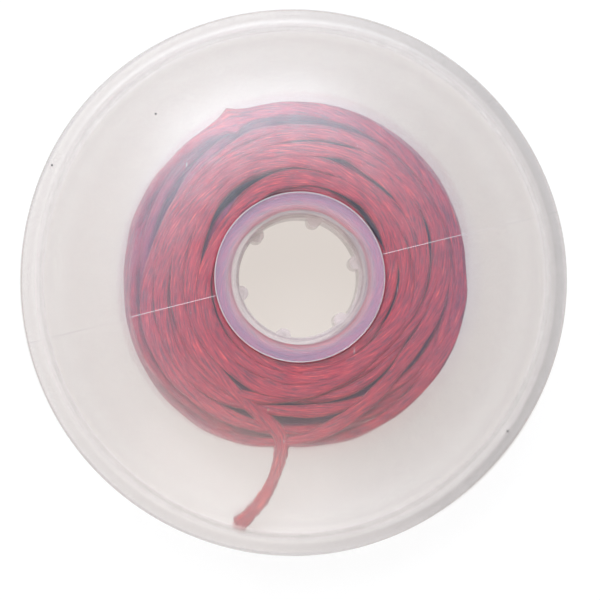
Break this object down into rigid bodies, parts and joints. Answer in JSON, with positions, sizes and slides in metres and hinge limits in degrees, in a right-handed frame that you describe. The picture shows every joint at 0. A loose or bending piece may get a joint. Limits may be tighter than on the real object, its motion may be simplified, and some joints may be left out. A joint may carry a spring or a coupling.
{
  "type": "snap-closed string reel",
  "caption": "Round snap-closed reel of frosted soft plastic: dished flanges on a hollow hub, wound with red cotton string that they hold in.",
  "frame": {"origin": "centre of the reel: on the hub's axis, in the plane where the two halves meet", "axes": "+Z along the hub's axis out of the front face, which is the face that the picture shows; +X to the picture's right and +Y to its top"},
  "size_m": [0.064, 0.064, 0.015],
  "materials": {
    "frosted_hub": "translucent, faintly frosted, moulded",
    "frosted_flange": "thin, translucent, soft sheen with fine handling scuffs",
    "red_string": "loosely twisted stranded cotton with a slight lustre"
  },
  "bodies": {
    "hub": {"front_hub": "frosted_hub", "rear_hub": "frosted_hub", "string_core": "red_string", "string_winding": "red_string", "string_tail": "red_string"},
    "front_flange": {"front_flange": "frosted_flange"},
    "rear_flange": {"rear_flange": "frosted_flange"}
  },
  "joints": [
    {"name": "front_flip", "type": "slide", "parent": "hub", "child": "front_flange", "axis": [0, 0, 1], "range_m": [0, 0.0128]},
    {"name": "rear_flip", "type": "slide", "parent": "hub", "child": "rear_flange", "axis": [0, 0, -1], "range_m": [0, 0.0128]}
  ]
}
